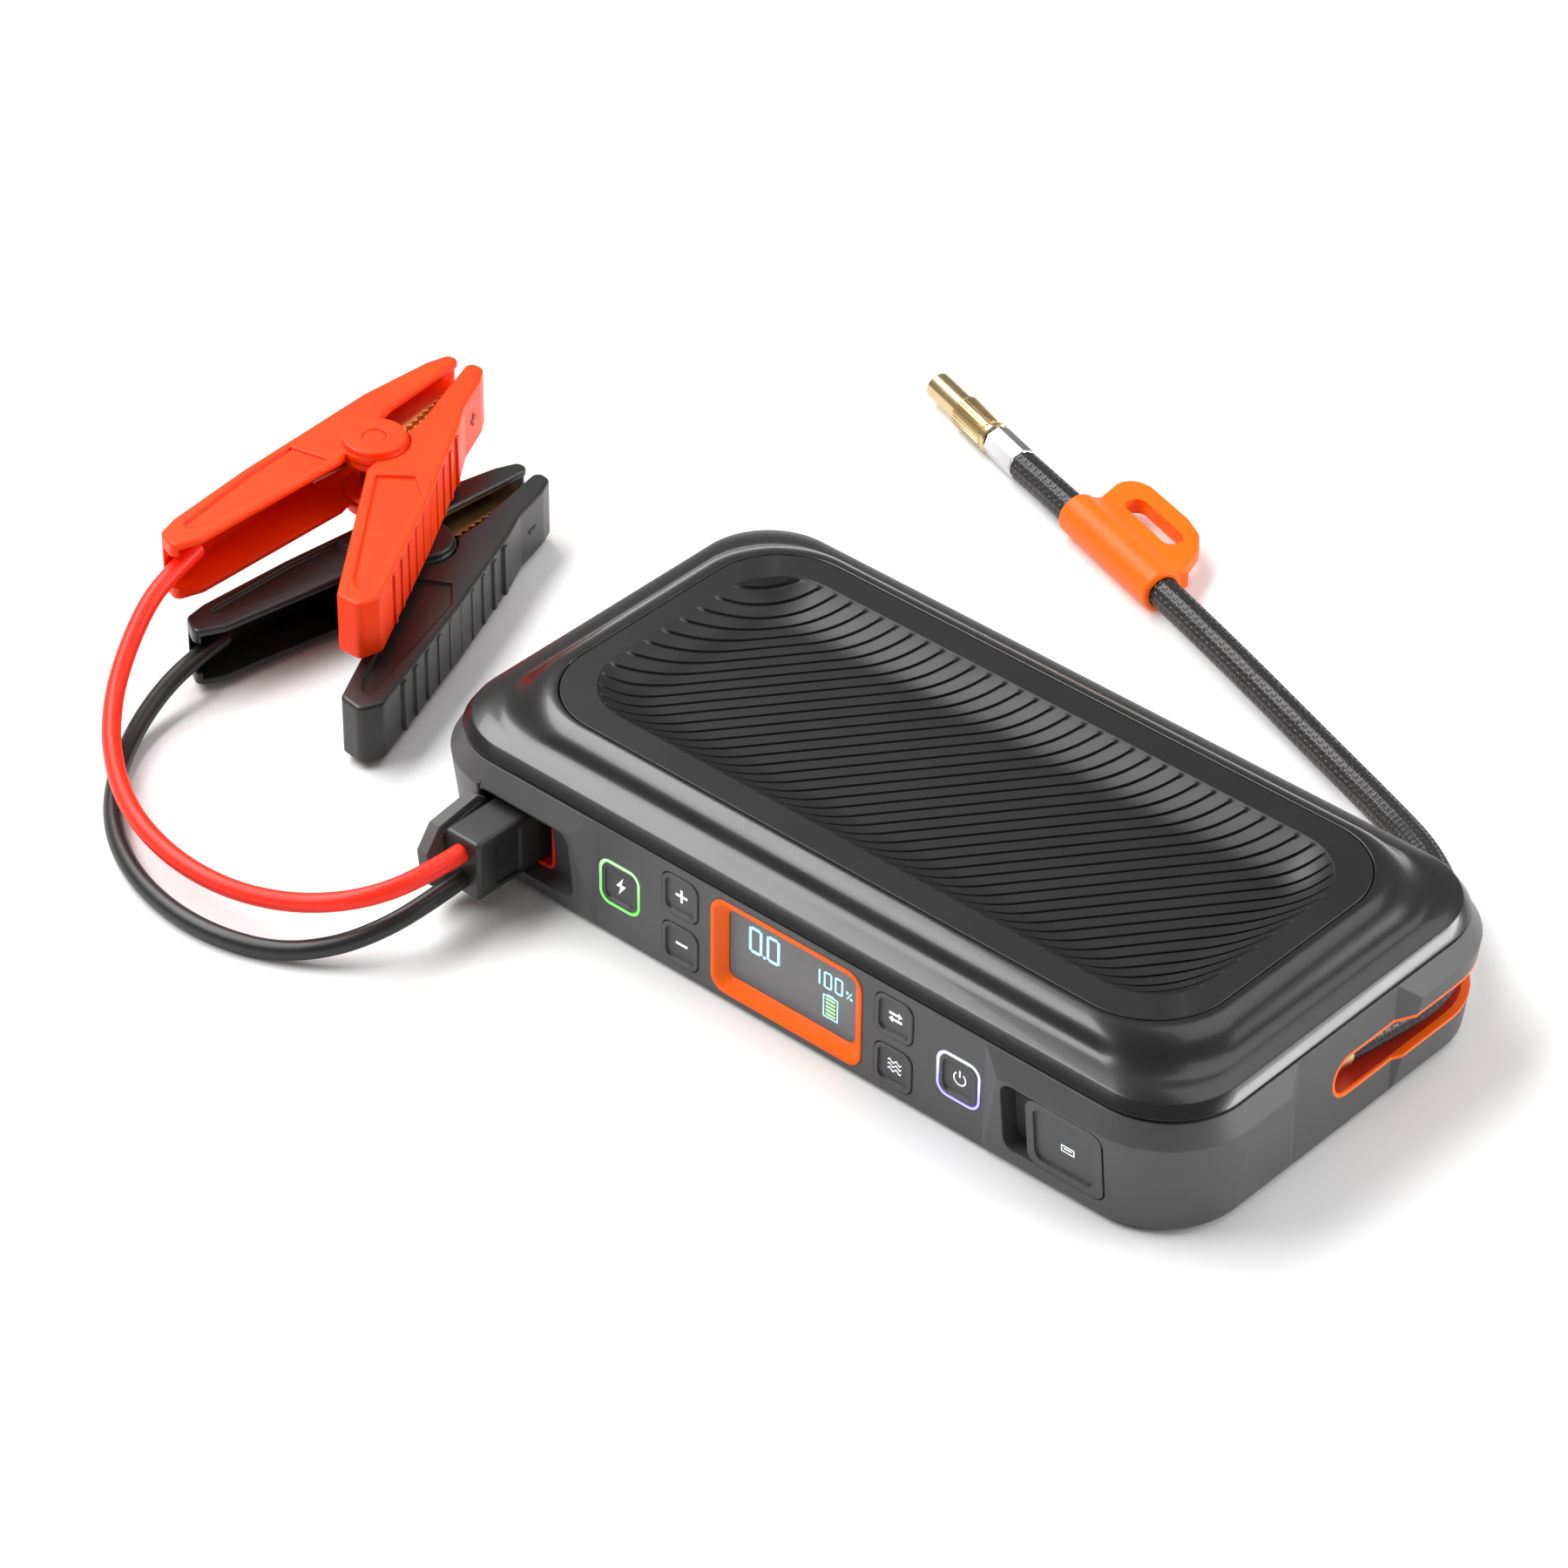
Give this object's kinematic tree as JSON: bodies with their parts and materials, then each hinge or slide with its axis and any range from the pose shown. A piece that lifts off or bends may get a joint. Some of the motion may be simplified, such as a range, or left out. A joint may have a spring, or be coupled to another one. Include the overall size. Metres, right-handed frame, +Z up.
{
  "type": "jump starter pack",
  "caption": "Pocket-size car battery jump starter with built-in air compressor: jumper lead with spring clamps, braided hose with screw-on valve chuck, lit keys and display.",
  "frame": {"origin": "middle of the pack's rubber base, on the floor", "axes": "+X along the pack to its right end, -Y out of the control panel, +Z up"},
  "size_m": [0.3888, 0.34, 0.0485],
  "materials": {
    "housing_grey": "fine satin texture, dark grey",
    "cover_black": "satin gloss black",
    "grip_black": "matte moulded grip",
    "gasket_black": "soft seal",
    "orange_plastic": "smooth bright orange",
    "lens_clear": "clear window",
    "display_dark": "lit colour display",
    "light_green": "glowing light guide",
    "light_violet": "glowing light guide",
    "key_grey": "satin dark grey keys with white symbols",
    "plug_black": "satin black",
    "lid_grey": "satin dark grey",
    "flap_grey": "soft rubber",
    "liner_red": "red plastic",
    "contact_brass": "machined",
    "hose_braid": "woven braid with light flecks",
    "chuck_brass": "polished, knurled collar",
    "chrome": "polished",
    "steel": "plain",
    "cable_red": "smooth flexible sheath",
    "cable_black": "smooth flexible sheath",
    "clamp_red": "satin red",
    "clamp_black": "satin black",
    "jaw_copper": "copper coloured plating",
    "cell_blue": "shrink sleeve",
    "inner_black": "plain moulding",
    "board_green": "solder mask",
    "nylon_white": "moulded gear",
    "pump_alloy": "cast"
  },
  "bodies": {
    "pack": {"lower_housing": "housing_grey", "top_cover": "cover_black", "grip_mat": "grip_black", "seam_gasket": "gasket_black", "base_pad": "gasket_black", "display_bezel": "orange_plastic", "display_lens": "lens_clear", "display_panel": "display_dark", "jump_light_ring": "light_green", "usb_light_ring": "light_violet", "usb_lid_pin": "steel", "usb_module": "inner_black", "port_flap_pin": "steel", "jump_socket": "liner_red", "socket_contacts": "contact_brass", "channel_liner": "liner_red", "hose_fitting": "contact_brass", "housing_screws": "steel", "battery_cells": "cell_blue", "battery_tray": "inner_black", "main_board": "board_green", "key_board": "board_green", "compressor_motor": "steel", "pump_frame": "pump_alloy", "pump_cylinder": "pump_alloy", "air_hose": "hose_braid", "hose_tab": "orange_plastic", "hose_ferrule": "chrome", "chuck_stem": "contact_brass", "chuck_seal": "gasket_black"},
    "jump_key": {"jump_button": "key_grey"},
    "usb_key": {"usb_button": "key_grey"},
    "plus_key": {"plus_button": "key_grey"},
    "minus_key": {"minus_button": "key_grey"},
    "unit_key": {"unit_button": "key_grey"},
    "air_key": {"air_button": "key_grey"},
    "usb_cover": {"usb_lid": "lid_grey"},
    "port_cover": {"port_flap": "flap_grey"},
    "chuck_grip": {"chuck_collar": "chuck_brass"},
    "pinion": {"motor_pinion": "contact_brass"},
    "crank": {"crank_gear": "nylon_white"},
    "piston": {"pump_piston": "nylon_white"},
    "jumper_lead": {"jump_plug": "plug_black", "plug_contacts": "contact_brass", "red_cable": "cable_red", "black_cable": "cable_black", "red_cable_half": "clamp_red", "red_pivot_pin": "clamp_red", "red_spring": "steel", "red_fixed_jaw": "jaw_copper", "black_cable_half": "clamp_black", "black_pivot_pin": "clamp_black", "black_spring": "steel", "black_fixed_jaw": "jaw_copper"},
    "red_lever": {"red_squeeze_half": "clamp_red", "red_moving_jaw": "jaw_copper"},
    "black_lever": {"black_squeeze_half": "clamp_black", "black_moving_jaw": "jaw_copper"}
  },
  "joints": [
    {"name": "jump_key_press", "type": "slide", "parent": "pack", "child": "jump_key", "axis": [0, 1, 0], "range_m": [0, 0.0008], "stiffness_N_per_m": 900},
    {"name": "usb_key_press", "type": "slide", "parent": "pack", "child": "usb_key", "axis": [0, 1, 0], "range_m": [0, 0.0008], "stiffness_N_per_m": 900},
    {"name": "plus_key_press", "type": "slide", "parent": "pack", "child": "plus_key", "axis": [0, 1, 0], "range_m": [0, 0.0008], "stiffness_N_per_m": 900},
    {"name": "minus_key_press", "type": "slide", "parent": "pack", "child": "minus_key", "axis": [0, 1, 0], "range_m": [0, 0.0008], "stiffness_N_per_m": 900},
    {"name": "unit_key_press", "type": "slide", "parent": "pack", "child": "unit_key", "axis": [0, 1, 0], "range_m": [0, 0.0008], "stiffness_N_per_m": 900},
    {"name": "air_key_press", "type": "slide", "parent": "pack", "child": "air_key", "axis": [0, 1, 0], "range_m": [0, 0.0008], "stiffness_N_per_m": 900},
    {"name": "usb_cover_hinge", "type": "hinge", "parent": "pack", "child": "usb_cover", "pos_m": [0.1052, -0.06866, 0.01789], "axis": [0, -0.1089, 0.994], "range_deg": [0, 90]},
    {"name": "port_cover_hinge", "type": "hinge", "parent": "pack", "child": "port_cover", "pos_m": [-0.1085, -0.06995, 0.01774], "axis": [0, -0.1089, 0.994], "range_deg": [-36, 0]},
    {"name": "plug_slide", "type": "slide", "parent": "pack", "child": "jumper_lead", "axis": [0, -1, 0], "range_m": [0, 0.025]},
    {"name": "red_clamp_hinge", "type": "hinge", "parent": "jumper_lead", "child": "red_lever", "pos_m": [-0.2335, 0.0145, 0.0331], "axis": [0, 0, 1], "range_deg": [-28, 0], "stiffness_Nm_per_rad": 1, "springref_deg": 20.05},
    {"name": "black_clamp_hinge", "type": "hinge", "parent": "jumper_lead", "child": "black_lever", "pos_m": [-0.2092, 0.00825, 0.0118], "axis": [0, 0, 1], "range_deg": [-28, 0], "stiffness_Nm_per_rad": 1, "springref_deg": 20.05},
    {"name": "chuck_turn", "type": "hinge", "parent": "pack", "child": "chuck_grip", "pos_m": [-0.1375, 0.1796, 0.00545], "axis": [-0.9471, 0.321, 0], "continuous": true},
    {"name": "crank_turn", "type": "hinge", "parent": "pack", "child": "crank", "pos_m": [0.0588, 0.014, 0.024], "axis": [0, 0, 1], "continuous": true},
    {"name": "pinion_turn", "type": "hinge", "parent": "pack", "child": "pinion", "pos_m": [0.078, 0.014, 0.024], "axis": [0, 0, 1], "continuous": true},
    {"name": "piston_stroke", "type": "slide", "parent": "pack", "child": "piston", "axis": [0, 1, 0], "range_m": [0, 0.006]}
  ],
  "couplings": [
    {"joint": "pinion_turn", "follows": "crank_turn", "ratio": -3}
  ]
}
